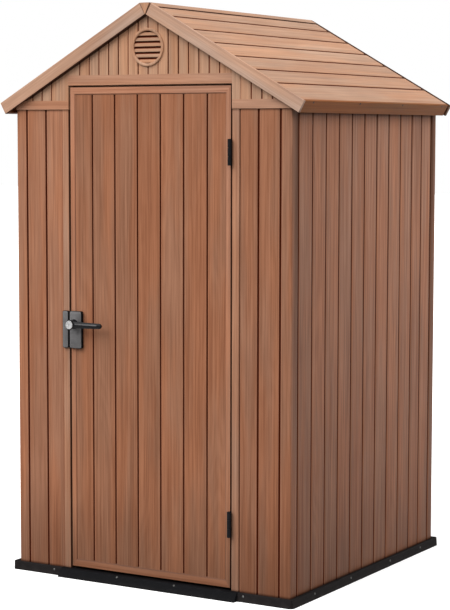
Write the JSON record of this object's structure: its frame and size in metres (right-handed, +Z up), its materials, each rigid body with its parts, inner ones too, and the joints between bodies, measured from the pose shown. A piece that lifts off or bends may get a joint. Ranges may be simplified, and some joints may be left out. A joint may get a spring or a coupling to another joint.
{
  "type": "plastic garden shed",
  "caption": "Small gabled garden shed of moulded wood-look plastic boards, with a hinged door, a lever handle, round gable vents and a black floor panel.",
  "frame": {"origin": "centre of the wall footprint on the ground, under the floor panel", "axes": "+Z up, -Y is the way the door faces, +X to the right as seen from in front of the door"},
  "size_m": [1.25, 1.216, 2.05],
  "materials": {
    "wall_plastic": "brown wood-grained moulding",
    "door_plastic": "reddish brown wood-grained moulding",
    "trim_plastic": "lighter brown wood-grained moulding",
    "roof_plastic": "tan wood-grained moulding",
    "base_plastic": "black grained moulding",
    "handle_plastic": "charcoal moulding",
    "hinge_metal": "black powder coat",
    "lock_metal": "brushed, slightly worn"
  },
  "bodies": {
    "shed": {"floor_panel": "base_plastic", "threshold_ramp": "base_plastic", "corner_post_front_left": "trim_plastic", "corner_post_front_right": "trim_plastic", "corner_post_back_left": "trim_plastic", "corner_post_back_right": "trim_plastic", "front_wall_left": "wall_plastic", "front_wall_right": "wall_plastic", "left_wall_front": "wall_plastic", "left_wall_rear": "wall_plastic", "right_wall_front": "wall_plastic", "right_wall_rear": "wall_plastic", "back_wall_left": "wall_plastic", "back_wall_right": "wall_plastic", "door_jamb_left": "trim_plastic", "door_jamb_right": "trim_plastic", "door_header": "trim_plastic", "gable_front": "trim_plastic", "gable_back": "trim_plastic", "vent_front": "trim_plastic", "vent_back": "trim_plastic", "roof_panel_left": "roof_plastic", "roof_panel_right": "roof_plastic", "ridge_cap": "roof_plastic", "barge_board_front_left": "trim_plastic", "barge_board_front_right": "trim_plastic", "barge_board_back_left": "trim_plastic", "barge_board_back_right": "trim_plastic", "eave_board_left": "trim_plastic", "eave_board_right": "trim_plastic", "keeper_plate": "handle_plastic", "hinge_frame_upper": "hinge_metal", "hinge_frame_lower": "hinge_metal"},
    "door": {"door_leaf": "door_plastic", "hinge_door_upper": "hinge_metal", "hinge_door_lower": "hinge_metal", "handle_plate_outer": "handle_plastic", "handle_plate_inner": "handle_plastic"},
    "handle": {"handle_spindle": "lock_metal", "lever_outer": "handle_plastic", "lever_inner": "handle_plastic", "lock_cylinder": "lock_metal"}
  },
  "joints": [
    {"name": "door_swing", "type": "hinge", "parent": "shed", "child": "door", "pos_m": [0.33475, -0.586, 0.901], "axis": [0, 0, 1], "range_deg": [0, 110]},
    {"name": "handle_turn", "type": "hinge", "parent": "door", "child": "handle", "pos_m": [-0.308, -0.573, 0.922], "axis": [0, 1, 0], "range_deg": [0, 45]}
  ]
}
